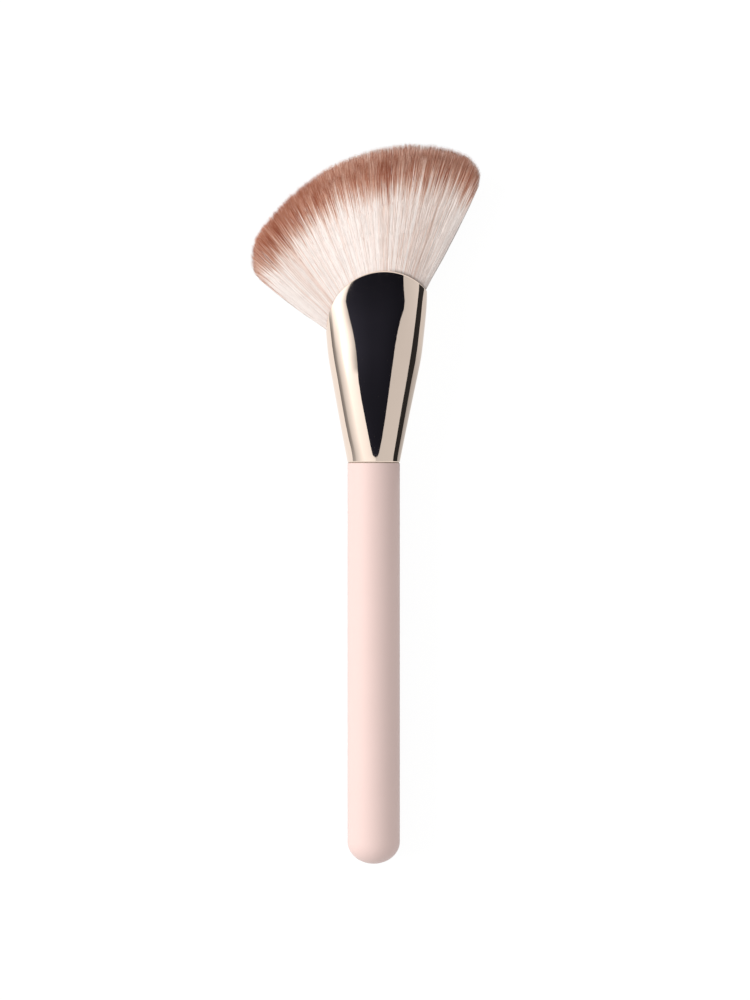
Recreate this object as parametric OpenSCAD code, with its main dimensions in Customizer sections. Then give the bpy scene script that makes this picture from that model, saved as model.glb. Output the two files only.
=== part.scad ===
// Angled powder brush, lying on its broad face.
// Sizes are in millimetres. The origin is on the handle's axis at the shoulder, where the
// ferrule begins. +Y runs towards the hair tips, +Z is up, and +X points to the side on
// which the hair stands highest.

/* [Handle] */
// Diameter of the grip, which is a plain cylinder
handle_d = 13.4; // [10:0.1:17]
// Length from the shoulder to the butt end
handle_len = 102.7; // [60:0.1:150]
// Length of the rounded butt end
butt_len = 5.7; // [3:0.1:9]
// Rounding of the handle's edge at the shoulder
shoulder_r = 0.35; // [0.1:0.05:0.8]
// Length of the tenon that the ferrule is pushed over
tenon_len = 12; // [6:0.5:13]
// Chamfer on the end of the tenon
tenon_chamfer = 0.8; // [0.3:0.1:1.5]
// Depth of the glue grooves round the tenon
groove_depth = 0.5; // [0.2:0.1:1]
// Width of each glue groove
groove_w = 1.2; // [0.6:0.1:2]

/* [Ferrule] */
// Thickness of the metal
ferrule_wall = 0.45; // [0.3:0.05:0.7]
// Rounding of the ferrule's lower edge
base_edge = 0.25; // [0.1:0.05:0.4]
// Length of the cone above the shoulder
cone_len = 27; // [24:0.5:34]
// Width across the end of the cone
cone_w = 24; // [19:0.1:26]
// Length of the gentler flare above the cone
flare_len = 13.5; // [10:0.5:18]
// Length of the straight mouth, up to the top of the rim
mouth_len = 8.2; // [6:0.1:12]
// Width across the mouth
mouth_w = 26.6; // [24:0.1:32]
// Depth of the ferrule at its fullest
swell_depth = 15; // [14:0.1:18]
// Height above the shoulder at which it is fullest
swell_at = 18; // [12:0.5:24]
// Depth of the pinched mouth, at the top of the rim
mouth_depth = 13; // [11:0.1:17]
// Squareness of the mouth's section, where 2 is an oval
mouth_power = 2.6; // [2:0.1:4]
// Sideways shift of the mouth
mouth_lean = 0.4; // [0:0.1:1.5]
// Radius of the arched rim, seen from the front
rim_r = 14.9; // [14.5:0.1:20]
// Sideways shift of the top of the rim
rim_shift = 2.75; // [0:0.05:4]

/* [Hair] */
// Length of hair above the top of the rim, at the crown
hair_len = 33.4; // [20:0.1:50]
// Depth of the hair at its fullest
hair_depth = 16; // [13:0.1:18]
// Depth of the hair where its domed tip begins
tip_depth = 12.6; // [8:0.1:15]
// Distance of the point that the hairs fan out from below the centre of the rim's arc
fan_back = 11.5; // [8:0.1:16]
// Degrees that the fan's edges swing out past the line of their roots
fan_swing = 0.8; // [0:0.1:3]
// Sideways shift of the crown, which is the highest part of the tips, from that point
crown_shift = 8.1; // [0:0.1:12]
// Radius that the tips are cut to over the crown
crown_r = 32; // [24:0.5:40]
// Radius of the long slope that the tips are cut to beside the crown
slope_r = 50.4; // [42:0.1:60]
// Degrees from the crown's top to where that slope begins
slope_from = 6; // [0:0.5:15]
// Width of the fan's two rounded corners
corner_w = 8; // [3:0.1:12]
// Drop of those corners
corner_drop = 5; // [1:0.1:8]
// Height of the dome that the tips make from front to back
dome_h = 6; // [2:0.1:9]
// Number of columns of points round the hair, two for each lock
hair_columns = 280; // [120:4:280]
// Depth of the grooves between the locks
lock_relief = 0.4; // [0:0.05:0.6]
// Most that one lock's tip falls short of the next
tip_stagger = 0.7; // [0:0.1:1.5]

/* [Root] */
// Height of the resin's upper face above the shoulder
resin_top = 23; // [20:0.5:23.5]
// Thickness of the resin below the knot of hair
resin_floor = 2; // [1:0.5:3]
// Resin between the ferrule and the knot
resin_side = 1.6; // [1.2:0.1:2.5]
// Diameter of the thread that binds the knot
thread_d = 0.5; // [0.3:0.05:0.8]
// Turns of that thread
thread_turns = 4; // [2:1:5]

/* [Hidden] */

// Clearances between pieces
glue_gap = 0.1;   // tenon in the ferrule, and resin in the ferrule
knot_gap = 0.08;  // knot of hair in the resin, and thread round the knot
hair_gap = 0.15;  // free hair in the ferrule
seat_gap = 0.05;  // end faces that meet

// Soft corners of the ferrule's side view
bend = 3;

// Heights above the shoulder
flare_end = cone_len + flare_len;
rim_top = flare_end + mouth_len;
rim_cy = rim_top - rim_r;
resin_bottom = tenon_len + seat_gap;
knot_bottom = resin_bottom + resin_floor + seat_gap;
thread_y = knot_bottom + 2 * thread_d;

// The point that the hairs fan out from, the centres of the arcs that their tips are cut to,
// and where the two arcs meet, all seen from it
fan = [rim_shift, rim_cy - fan_back];
slope_way = [-sin(slope_from), cos(slope_from)];
crown_c = [crown_shift, rim_top + hair_len - crown_r - fan.y];
slope_c = crown_c - (slope_r - crown_r) * slope_way;
arcs_meet = crown_c + crown_r * slope_way;

// Widening of the ferrule on each side for each millimetre of height
cone_rate = (cone_w - handle_d) / 2 / cone_len;
flare_rate = (mouth_w - cone_w) / 2 / flare_len;

tenon_r = handle_d / 2 - ferrule_wall - glue_gap;

function clamp(t) = min(1, max(0, t));
function smooth(t) = let (c = clamp(t)) c * c * (3 - 2 * c);
function mix(a, b, t) = a + (b - a) * t;

// 0 before zero and t after it, with a corner softened over b on each side
function ramp(t, b) = t <= -b ? 0 : t >= b ? t : pow(t + b, 2) / (4 * b);

// Half width, half depth, sideways shift and squareness of the ferrule's section at height y
function half_w(y) = handle_d / 2 + cone_rate * y
    + (flare_rate - cone_rate) * ramp(y - cone_len, bend)
    - flare_rate * ramp(y - flare_end, bend);
function half_d(y) = (swell_depth - (y < swell_at
    ? (swell_depth - handle_d) * pow(1 - y / swell_at, 2)
    : (swell_depth - mouth_depth) * pow((y - swell_at) / (rim_top - swell_at), 2))) / 2;
function lean(y) = mouth_lean * smooth(y / flare_end);
function power(y) = mix(2, mouth_power, smooth(y / flare_end));

// A point of a superellipse with half axes of 1, in the direction of angle a
function unit_oval(a, n) =
    [cos(a), sin(a)] * pow(pow(abs(cos(a)), n) + pow(abs(sin(a)), n), -1 / n);

// A point of the ferrule's skin at height y, inset from its outer face
function skin(a, y, inset = 0) = let (o = unit_oval(a, power(y)))
    [lean(y) + (half_w(y) - inset) * o.x, y, (half_d(y) - inset) * o.y];

// Height of the arched rim above x, and on the column at angle a by halving the interval
function arch(x) = rim_cy + sqrt(max(0, pow(rim_r, 2) - pow(x - rim_shift, 2)));
function rim_height(a, low = rim_cy, high = rim_top, steps = 20) =
    let (middle = (low + high) / 2)
    steps == 0 ? middle
    : middle < arch(skin(a, middle).x) ? rim_height(a, middle, high, steps - 1)
    : rim_height(a, low, middle, steps - 1);

function angles(columns) = [for (k = [0:columns - 1]) 360 * k / columns];
function flat(rings) = [for (ring = rings) each ring];

// Two triangles for each cell between rings i and j, wrapping round the columns
function band(i, j, columns) = [for (k = [0:columns - 1])
    let (next = (k + 1) % columns,
         a = i * columns + k, b = i * columns + next,
         c = j * columns + next, d = j * columns + k)
    each [[a, b, c], [a, c, d]]];

// A skin through rings of points, closed by a flat cap on the first and last ring
module loft(rings) {
    columns = len(rings[0]);
    last = len(rings) - 1;
    faces = concat(
        [[for (k = [0:columns - 1]) columns - 1 - k]],
        [for (i = [0:last - 1]) each band(i, i + 1, columns)],
        [[for (k = [0:columns - 1]) last * columns + k]]);
    polyhedron(flat(rings), faces, convexity = 6);
}

// A skin through rings of points whose last ring joins the first
module loft_loop(rings) {
    columns = len(rings[0]);
    count = len(rings);
    polyhedron(flat(rings),
        [for (i = [0:count - 1]) each band(i, (i + 1) % count, columns)], convexity = 6);
}

// Turns a profile of [radius, height] round the brush's axis
module turned(profile) {
    rotate([-90, 0, 0]) rotate_extrude($fn = 96) polygon(profile);
}

// Lacquered wooden handle, turned in one piece with the tenon for the ferrule
module handle() {
    grip_r = handle_d / 2;
    butt_steps = 18;
    edge_steps = 5;
    butt = [for (i = [0:butt_steps]) let (a = 90 * i / butt_steps)
        [grip_r * sin(a), -handle_len + butt_len * (1 - cos(a))]];
    shoulder = [for (i = [0:edge_steps]) let (a = 90 * i / edge_steps)
        [grip_r - shoulder_r * (1 - cos(a)), -shoulder_r * (1 - sin(a))]];
    groove_at = [for (share = [0.35, 0.65]) tenon_len * share];
    grooves = [for (y = groove_at) each [
        [tenon_r, y - groove_w / 2], [tenon_r - groove_depth, y - groove_w / 4],
        [tenon_r - groove_depth, y + groove_w / 4], [tenon_r, y + groove_w / 2]]];
    tenon = concat([[tenon_r, 0]], grooves,
        [[tenon_r, tenon_len - tenon_chamfer], [tenon_r - tenon_chamfer, tenon_len], [0, tenon_len]]);
    color("mistyrose") turned(concat(butt, shoulder, tenon));
}

// Drawn metal ferrule: a round base that flares and flattens to an arched, slanting mouth
module ferrule() {
    outer_rows = 14;
    inner_rows = 10;
    columns = angles(64);
    rims = [for (a = columns) rim_height(a)];
    lip = ferrule_wall / 4;
    function row(share, inset, start) = [for (k = [0:len(columns) - 1])
        skin(columns[k], mix(start, rims[k], share), inset)];
    base = [for (a = columns) skin(a, 0, base_edge)];
    outer = [for (i = [0:outer_rows]) row(i / outer_rows, 0, base_edge)];
    top = [for (p = [row(1, ferrule_wall / 2, 0)]) [for (q = p) q + [0, lip, 0]]];
    inner = [for (i = [0:inner_rows]) row(1 - i / inner_rows, ferrule_wall, 0)];
    color("antiquewhite") loft_loop(concat([base], outer, top, inner));
}

// Ring of points of the ferrule's section at one height
function level(y, inset, columns = 48) = [for (a = angles(columns)) skin(a, y, inset)];

// Cured resin that pots the knot of hair: a cup with a groove for the thread
module resin_plug() {
    side = ferrule_wall + glue_gap;
    pocket = ferrule_wall + resin_side - knot_gap;
    groove = pocket - thread_d - 2 * knot_gap;
    floor_y = knot_bottom - seat_gap;
    groove_low = thread_y - thread_d;
    groove_high = thread_y + thread_turns * thread_d;
    color("wheat") loft([
        level(resin_bottom, side),
        level(mix(resin_bottom, resin_top, 0.5), side),
        level(resin_top, side),
        level(resin_top, pocket),
        level(groove_high, pocket),
        level(groove_high, groove),
        level(groove_low, groove),
        level(groove_low, pocket),
        level(floor_y, pocket)]);
}

// Thread wound round the knot, one closed turn on the next
module binding_thread() {
    around = 28;
    sides = 6;
    r = thread_d / 2;
    lift = ferrule_wall + resin_side - knot_gap - r;
    color("ivory") for (turn = [0:thread_turns - 1]) {
        y = thread_y + turn * thread_d;
        loft_loop([for (a = angles(around)) let (c = skin(a, y, lift), out = [cos(a), 0, sin(a)])
            [for (b = angles(sides)) c + r * 0.96 * (out * cos(b) + [0, sin(b), 0])]]);
    }
}

// Distance from the fan's point to an arc of centre c and radius r, in direction th from +Y
function arc_reach(th, c, r) = let (along = [sin(th), cos(th)] * c)
    along + sqrt(max(0, along * along - c * c + r * r));

// The same to the cut of the tips, with the fan's corners at edges low and high rounded
function reach(th, low, high) =
    let (whole = th < atan2(arcs_meet.x, arcs_meet.y)
            ? arc_reach(th, slope_c, slope_r) : arc_reach(th, crown_c, crown_r),
         edge = whole * sin(max(0, min(th - low, high - th))),
         short = clamp(1 - edge / corner_w))
    whole - corner_drop * (1 - sqrt(1 - short * short));

// Hair: potted as a knot, then fanned to a slanting cut, with locks parted by grooves
module bristle_tuft() {
    n = hair_columns;
    columns = angles(n);
    cap_rows = 10;
    free_rows = [0.1, 0.28, 0.48, 0.66, 0.84, 1];
    knot = ferrule_wall + resin_side;
    neck = ferrule_wall + hair_gap;
    neck_y = resin_top + 1;

    rims = [for (a = columns) rim_height(a)];
    roots = [for (k = [0:n - 1]) skin(columns[k], rims[k], neck)];
    root_d = [for (y = rims) half_d(y) - neck];
    share = [for (k = [0:n - 1]) unit_oval(columns[k], power(rims[k])).y];
    from = [for (p = roots) norm([p.x, p.y] - fan)];
    turn = [for (p = roots) atan2(p.x - fan.x, p.y - fan.y)];
    part = [for (x = rands(0.4, 1, n, 7)) x];
    short = [for (x = rands(0, tip_stagger, n * cap_rows, 11)) x];

    // Direction of column k, and half depth of the hair, at share t of its free length
    function way(k, t) = turn[k] + fan_swing * sin(2 * turn[k]) * smooth(t / 0.3);
    function belly(k, t) = t < 0.5 ? mix(root_d[k], hair_depth / 2, smooth(t / 0.5))
        : mix(hair_depth / 2, tip_depth / 2, smooth((t - 0.5) / 0.5));

    // Length of a tip at share v of the half depth, where j numbers it along its column
    function tip(k, v, j) = reach(way(k, 1), way(n / 2, 1), way(0, 1))
        - dome_h * (1 - sqrt(max(0, 1 - v * v))) - short[k * cap_rows + j];
    function hair(k, t, v, r) = let (th = way(k, t))
        [fan.x + r * sin(th), fan.y + r * cos(th), v * belly(k, t)];

    // Every second column sinks between its neighbours, more so towards the tips
    function groove(k, t) = k % 2 == 0 ? 0 : lock_relief * part[k] * smooth(t / 0.5);
    function free(k, t) = let (a = columns[k], th = turn[k], v = share[k])
        hair(k, t, v, mix(from[k], tip(k, v, 0), t))
        - groove(k, t) * [cos(a) * cos(th), -cos(a) * sin(th), sin(a)];

    rings = concat(
        [[for (a = columns) skin(a, knot_bottom, knot)]],
        [[for (a = columns) skin(a, resin_top, knot)]],
        [for (t = [0, 0.4, 0.75, 1]) [for (k = [0:n - 1])
            skin(columns[k], mix(neck_y, rims[k], t), neck)]],
        [for (t = free_rows) [for (k = [0:n - 1]) free(k, t)]]);
    rows = len(rings);

    // The dome runs from each column at the front, over the crest, to its twin at the back
    dome = [for (k = [1:n / 2 - 1]) for (j = [1:cap_rows - 1])
        let (v = share[k] * cos(180 * j / cap_rows))
        hair(k, 1, v, tip(k, v, j) - 1.5 * groove(k, 1))];
    top = (rows - 1) * n;
    function at(k, j) = k == 0 ? top
        : k == n / 2 || j == 0 ? top + k
        : j == cap_rows ? top + n - k
        : rows * n + (k - 1) * (cap_rows - 1) + j - 1;
    dome_faces = [for (k = [0:n / 2 - 1]) for (j = [0:cap_rows - 1]) each concat(
        k == n / 2 - 1 ? [] : [[at(k, j), at(k + 1, j), at(k + 1, j + 1)]],
        k == 0 ? [] : [[at(k, j), at(k + 1, j + 1), at(k, j + 1)]])];
    faces = concat(
        [[for (k = [0:n - 1]) n - 1 - k]],
        [for (i = [0:rows - 2]) each band(i, i + 1, n)],
        dome_faces);
    color("rosybrown") polyhedron(concat([for (ring = rings) each ring], dome), faces, convexity = 10);
}

handle();
ferrule();
resin_plug();
binding_thread();
bristle_tuft();
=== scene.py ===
import math

import bpy
import numpy as np
from bpy.props import FloatProperty, FloatVectorProperty, IntProperty, PointerProperty
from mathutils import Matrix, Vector


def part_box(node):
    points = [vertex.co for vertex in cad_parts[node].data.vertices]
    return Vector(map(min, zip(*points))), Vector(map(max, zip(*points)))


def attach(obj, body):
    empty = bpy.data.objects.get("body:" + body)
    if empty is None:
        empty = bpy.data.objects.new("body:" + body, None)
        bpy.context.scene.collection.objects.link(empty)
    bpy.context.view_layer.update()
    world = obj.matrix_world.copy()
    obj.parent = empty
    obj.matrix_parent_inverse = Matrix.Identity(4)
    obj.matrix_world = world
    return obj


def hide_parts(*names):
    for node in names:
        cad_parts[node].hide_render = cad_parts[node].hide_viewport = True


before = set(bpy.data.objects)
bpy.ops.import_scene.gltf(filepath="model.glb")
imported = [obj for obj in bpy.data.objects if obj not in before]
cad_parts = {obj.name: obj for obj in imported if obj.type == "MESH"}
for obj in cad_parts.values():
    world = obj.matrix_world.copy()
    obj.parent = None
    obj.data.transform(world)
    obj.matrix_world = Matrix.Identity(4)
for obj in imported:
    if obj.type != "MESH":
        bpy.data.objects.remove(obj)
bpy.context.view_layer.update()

bl_info = {
    "name": "Angled Powder Brush",
    "version": (1, 0, 0),
    "blender": (4, 5, 0),
    "location": "3D View > Sidebar > Powder Brush",
    "description": "Makes an angled powder brush with a fan of dip-dyed hair, and its studio",
    "category": "Add Mesh",
}

HANDLE_LOW, HANDLE_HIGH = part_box("handle")
BODY = "root"
MM = 0.001
GLUE_GAP = 0.1 * MM         # between the tenon and the ferrule's inner face
HAIR_GAP = 0.15 * MM        # between the hair and that face, at the rim
NEAR_EDGE = 0.05 * MM       # from a rounded edge to the ring that keeps the shading beside it flat
CARDS_RADIUS = 0.34         # of the sphere round the brush on which the studio's cards lie
CARDS_CENTRE = np.array([0, 0.02, 0])


def size(name, description, default, low=0.0, high=1.0):
    """A length in metres that the user may change."""
    return FloatProperty(name=name, description=description, default=default, min=low, max=high,
                         precision=5, subtype="DISTANCE", unit="LENGTH")


def amount(name, description, default, low=0.0, high=1.0):
    """A plain number that the user may change."""
    return FloatProperty(name=name, description=description, default=default, min=low, max=high,
                         precision=3)


def colour(name, description, default):
    """A linear colour that the user may change."""
    return FloatVectorProperty(name=name, description=description, default=default, size=3,
                               min=0.0, max=1.0, subtype="COLOR")


class HandleSettings(bpy.types.PropertyGroup):
    """Sizes and finish of the turned wooden handle."""
    diameter: size("Diameter", "Diameter of the grip", HANDLE_HIGH.x - HANDLE_LOW.x)
    length: size("Length", "Length from the shoulder to the butt end", -HANDLE_LOW.y)
    butt_length: size("Butt Length", "Length of the rounded butt end", 0.0057)
    shoulder_radius: size("Shoulder Rounding", "Rounding of the edge at the shoulder", 0.00035)
    tenon_length: size("Tenon Length", "Length of the tenon inside the ferrule", HANDLE_HIGH.y)
    groove_depth: size("Groove Depth", "Depth of the glue grooves round the tenon", 0.0005)
    groove_width: size("Groove Width", "Width of each glue groove", 0.0012)
    lacquer: colour("Lacquer", "Colour of the satin lacquer", (0.885, 0.665, 0.615))
    wood: colour("Bare Wood", "Colour of the tenon, which isn't lacquered", (0.62, 0.44, 0.27))


class FerruleSettings(bpy.types.PropertyGroup):
    """Sizes and finish of the drawn metal ferrule."""
    wall: size("Wall", "Thickness of the metal", 0.00045)
    base_edge: size("Lower Edge", "Rounding of the lower edge", 0.00025)
    cone_length: size("Cone Length", "Length of the cone above the shoulder", 0.027)
    cone_width: size("Cone Width", "Width across the end of the cone", 0.024)
    flare_length: size("Flare Length", "Length of the gentler flare above the cone", 0.0135)
    mouth_length: size("Mouth Length", "Length of the straight mouth", 0.0082)
    mouth_width: size("Mouth Width", "Width across the mouth", 0.0266)
    full_depth: size("Full Depth", "Depth at its fullest", 0.015)
    full_height: size("Fullest At", "Height above the shoulder at which it is fullest", 0.018)
    mouth_depth: size("Mouth Depth", "Depth of the pinched mouth", 0.013)
    squareness: amount("Squareness", "Exponent of the mouth's oval, where 2 is round", 2.6, 2, 4)
    mouth_lean: size("Mouth Lean", "Sideways shift of the mouth", 0.0004)
    rim_radius: size("Rim Radius", "Radius of the arched rim, seen from the front", 0.0149)
    rim_shift: size("Rim Shift", "Sideways shift of the top of the rim", 0.00275)
    metal: colour("Metal", "Colour of the polished metal", (0.871, 0.723, 0.617))
    roughness: amount("Roughness", "Roughness of the polish", 0.032)


class HairSettings(bpy.types.PropertyGroup):
    """Sizes, number and colours of the hairs."""
    length: size("Length", "Length of hair above the top of the rim, at the crown", 0.0334)
    depth: size("Depth", "Depth of the hair at its fullest", 0.016)
    tip_depth: size("Tip Depth", "Depth of the hair where its domed tip begins", 0.0126)
    fan_back: size("Fan Point", "Distance of the fan's point below the rim's centre", 0.0115)
    fan_swing: amount("Fan Swing", "Degrees that the fan's edges swing out", 0.8, 0, 5)
    crown_shift: size("Crown Shift", "Sideways shift of the crown from the fan's point", 0.0081)
    crown_radius: size("Crown Radius", "Radius of the cut over the crown", 0.032)
    slope_radius: size("Slope Radius", "Radius of the cut along the slope", 0.0504)
    slope_from: amount("Slope From", "Degrees from the crown's top to the slope", 6, 0, 20)
    corner_width: size("Corner Width", "Width of the fan's rounded corners", 0.008)
    corner_drop: size("Corner Drop", "Drop of the fan's rounded corners", 0.005)
    dome_height: size("Dome Height", "Height of the dome from front to back", 0.006)
    thickness: size("Hair Thickness", "Thickness of one hair at its middle", 0.00015)
    face_count: IntProperty(name="Face Hairs", description="Long hairs on each broad face",
                            default=6900, min=100, max=7000)
    crown_count: IntProperty(name="Crown Hairs", description="Hair tips over the dome",
                             default=19500, min=100, max=19900)
    seed: IntProperty(name="Seed", description="Seed of the hairs' irregularities", default=5)
    feather: size("Feathering", "Difference in length from hair to hair", 0.0012)
    softness: amount("Softness", "How far the hairs are shaded as one soft surface", 0.4)
    dye_length: size("Dye Length", "Distance below the cut at which the dye ends", 0.0112)
    dye_scatter: size("Dye Scatter", "Difference in that distance from hair to hair", 0.0022)
    pale: colour("Pale Hair", "Colour of the undyed hair", (0.985, 0.88, 0.828))
    dyed: colour("Dyed Tips", "Colour of the dip-dyed tips", (0.44, 0.18, 0.112))


class StudioSettings(bpy.types.PropertyGroup):
    """Light, floor and camera."""
    key: FloatProperty(name="Key Light", description="Power of the soft light on the left",
                       default=11.9, min=0, unit="POWER")
    fill: amount("Fill", "Level of the even light from all round", 0.61, 0, 2)
    camera_height: size("Camera Height", "Height of the camera above the brush", 1.0, 0.1, 5)
    frame_height: size("Frame Height", "Height of what the camera sees", 0.25606, 0.05, 2)

    def eye(self):
        """Place of the camera, over the middle of the frame."""
        return 0.33 * MM, -9.6 * MM, self.camera_height


def smooth(t):
    """Rises from 0 to 1 as t does, as 3t^2 - 2t^3."""
    c = np.clip(t, 0, 1)
    return c * c * (3 - 2 * c)


def mix(a, b, t):
    """a where t is 0 and b where it is 1, in a straight line."""
    return a + (b - a) * t


def ramp(t, b):
    """0 before zero and t after it, joined by the parabola (t + b)^2 / 4b over b on each side."""
    return np.where(t <= -b, 0, np.where(t >= b, t, (t + b) ** 2 / (4 * b)))


def vectors(x, y, z):
    """Vectors with the given parts, each of which is an array or a number."""
    return np.stack(np.broadcast_arrays(x, y, z), -1)


def unit(ways):
    """The same vectors with a length of 1."""
    return ways / np.linalg.norm(ways, axis=-1, keepdims=True)


def halved(low, high, steps, under):
    """Where under stops being true between low and high, found by halving that interval."""
    for _ in range(steps):
        middle = (low + high) / 2
        still = under(middle)
        low, high = np.where(still, middle, low), np.where(still, high, middle)
    return low


def unit_oval(a, n):
    """The point in direction a of the superellipse |x|^n + |y|^n = 1."""
    x, y = np.cos(a), np.sin(a)
    k = (np.abs(x) ** n + np.abs(y) ** n) ** (-1 / n)
    return x * k, y * k


class FerruleForm:
    """The ferrule's sections. At height y the section is an oval of half axes half_width and
    half_depth, whose exponent grows from 2 at the shoulder to the mouth's squareness."""

    def __init__(self, scene):
        self.s = s = scene.brush_ferrule
        self.base_r = scene.brush_handle.diameter / 2
        self.flare_end = s.cone_length + s.flare_length
        self.rim_top = self.flare_end + s.mouth_length
        self.rim_centre = self.rim_top - s.rim_radius

    def half_width(self, y):
        """A cone, a gentler flare and a straight mouth: each one's rate, times a ramp that
        starts where it begins. bend is half the length over which one gives way to the next."""
        s = self.s
        cone = (s.cone_width / 2 - self.base_r) / s.cone_length
        flare = (s.mouth_width - s.cone_width) / 2 / s.flare_length
        bend = 3 * MM
        return (self.base_r + cone * y + (flare - cone) * ramp(y - s.cone_length, bend)
                - flare * ramp(y - self.flare_end, bend))

    def half_depth(self, y):
        """Two parabolas that meet, level, at the fullest height."""
        s = self.s
        below = (s.full_depth / 2 - self.base_r) * (1 - y / s.full_height) ** 2
        above = ((s.full_depth - s.mouth_depth) / 2
                 * ((y - s.full_height) / (self.rim_top - s.full_height)) ** 2)
        return s.full_depth / 2 - np.where(y < s.full_height, below, above)

    def power(self, y):
        """Exponent of the section at height y."""
        return mix(2, self.s.squareness, smooth(y / self.flare_end))

    def skin(self, a, y, inset=0.0):
        """The point at angle a and height y, at a distance inset inside the outer face."""
        ox, oz = unit_oval(a, self.power(y))
        x = self.s.mouth_lean * smooth(y / self.flare_end) + (self.half_width(y) - inset) * ox
        return vectors(x, y, (self.half_depth(y) - inset) * oz)

    def rim(self, a):
        """Height of the rim at angle a, where the skin meets the arch
        y = centre + sqrt(radius^2 - (x - shift)^2)."""
        def under(y):
            x = self.skin(a, y)[..., 0] - self.s.rim_shift
            return y < self.rim_centre + np.sqrt(np.maximum(0, self.s.rim_radius ** 2 - x ** 2))

        return halved(np.full_like(a, self.rim_centre), np.full_like(a, self.rim_top), 30, under)

    def mirrored(self, x, y, eye):
        """The points of the upper face at (x, y), and the way that a ray from the eye leaves
        them: 2 (n . v) n - v, where v points to the eye and n is the normal, which is worked
        out from points a small turn and a small rise away."""
        a = halved(np.full_like(x, 1e-5), np.full_like(x, np.pi - 1e-5), 40,
                   lambda angle: self.skin(angle, y)[..., 0] > x)
        turn = 1e-4
        rise = turn * 0.01
        point = self.skin(a, y)
        normal = unit(np.cross(self.skin(a, y + rise) - self.skin(a, y - rise),
                               self.skin(a + turn, y) - self.skin(a - turn, y)))
        normal *= np.sign(normal[..., 2:])
        view = unit(eye - point)
        return point, 2 * (normal * view).sum(-1, keepdims=True) * normal - view


def arc_reach(way, centre, radius):
    """Distance from the fan's point to an arc, along the unit vectors in way."""
    along = way @ centre
    return along + np.sqrt(np.maximum(0, along ** 2 - centre @ centre + radius ** 2))


class FanForm:
    """The hair. A hair is named by (x, v) in the section's unit oval: x sets its direction from
    the fan's point and v its share of the half depth. Along the hair, t runs from 0 at the rim
    to 1 at the tip."""
    STEPS = 721         # points on half of the section, from its left to its right

    def __init__(self, ferrule, s):
        self.s = s
        f = ferrule.s
        neck = f.wall + HAIR_GAP
        self.a = a = np.linspace(np.pi, 0, self.STEPS)
        rims = ferrule.rim(a)
        root = ferrule.skin(a, rims, neck)
        self.fan = np.array([f.rim_shift, ferrule.rim_centre - s.fan_back])
        self.x, self.v = unit_oval(a, ferrule.power(rims))
        self.turn = np.arctan2(root[:, 0] - self.fan[0], root[:, 1] - self.fan[1])
        self.root_r = np.hypot(root[:, 0] - self.fan[0], root[:, 1] - self.fan[1])
        self.root_depth = ferrule.half_depth(rims) - neck
        slope = math.radians(s.slope_from)
        slope_way = np.array([-math.sin(slope), math.cos(slope)])
        top = ferrule.rim_top + s.length - self.fan[1]
        self.crown = np.array([s.crown_shift, top - s.crown_radius])
        self.slope = self.crown - (s.slope_radius - s.crown_radius) * slope_way
        meet = self.crown + s.crown_radius * slope_way
        self.meet = math.atan2(meet[0], meet[1])
        self.low, self.high = self.way(-1.0, 1.0), self.way(1.0, 1.0)

    def way(self, x, t):
        """Direction of a hair: that of its root, and a small swing outwards over the first
        three tenths of its length."""
        turn = np.interp(x, self.x, self.turn)
        return turn + math.radians(self.s.fan_swing) * np.sin(2 * turn) * smooth(t / 0.3)

    def arc(self, way):
        """Distance from the fan's point, in direction way, to the slope's arc on the left of
        where the two arcs meet and to the crown's on the right of it."""
        out = np.stack([np.sin(way), np.cos(way)], -1)
        return np.where(way < self.meet, arc_reach(out, self.slope, self.s.slope_radius),
                        arc_reach(out, self.crown, self.s.crown_radius))

    def cut(self, way):
        """Distance to the cut: the arc's, less a quarter of an ellipse at each corner."""
        s, whole = self.s, self.arc(way)
        edge = whole * np.sin(np.maximum(0, np.minimum(way - self.low, self.high - way)))
        short = np.clip(1 - edge / s.corner_width, 0, 1)
        return whole - s.corner_drop * (1 - np.sqrt(1 - short ** 2))

    def tip(self, way, v):
        """The same less the dome, which falls as a quarter of an ellipse with v."""
        return self.cut(way) - self.s.dome_height * (1 - np.sqrt(np.maximum(0, 1 - v ** 2)))

    def belly(self, x, t):
        """Half depth: from the ferrule's to the hair's fullest at t = 0.5, then to the tips'."""
        s = self.s
        root = np.interp(x, self.x, self.root_depth)
        return np.where(t < 0.5, mix(root, s.depth / 2, smooth(t / 0.5)),
                        mix(s.depth / 2, s.tip_depth / 2, smooth((t - 0.5) / 0.5)))

    def place(self, x, v, t, r, turned=0.0):
        """The point at distance r from the fan's point, turned sideways by an angle."""
        way = self.way(x, t) + turned
        return vectors(self.fan[0] + r * np.sin(way), self.fan[1] + r * np.cos(way),
                       v * self.belly(x, t))


def bands(rows, columns, closed=False):
    """Quads between each row of points and the next, wrapping round the columns. Seen from
    outside, the columns run to the left of the rows."""
    row = np.arange(rows if closed else rows - 1)[:, None] * columns
    up = (row + columns) % (rows * columns)
    column = np.arange(columns)[None]
    beside = (column + 1) % columns
    return np.stack([row + column, row + beside, up + beside, up + column], -1).reshape(-1, 4)


def fan_of(ring, pole, flip=False):
    """Triangles from a ring of points to a pole."""
    beside = np.roll(ring, -1)
    tris = np.stack([ring, beside, np.full_like(ring, pole)], -1)
    return tris[:, ::-1] if flip else tris


def poled(rows, columns):
    """Faces of rings of points, in rows, whose last two points are the poles below and above."""
    bottom, top = np.arange(columns), np.arange(columns) + (rows - 1) * columns
    return [bands(rows, columns)[:, ::-1], fan_of(bottom, rows * columns),
            fan_of(top, rows * columns + 1, flip=True)]


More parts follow.
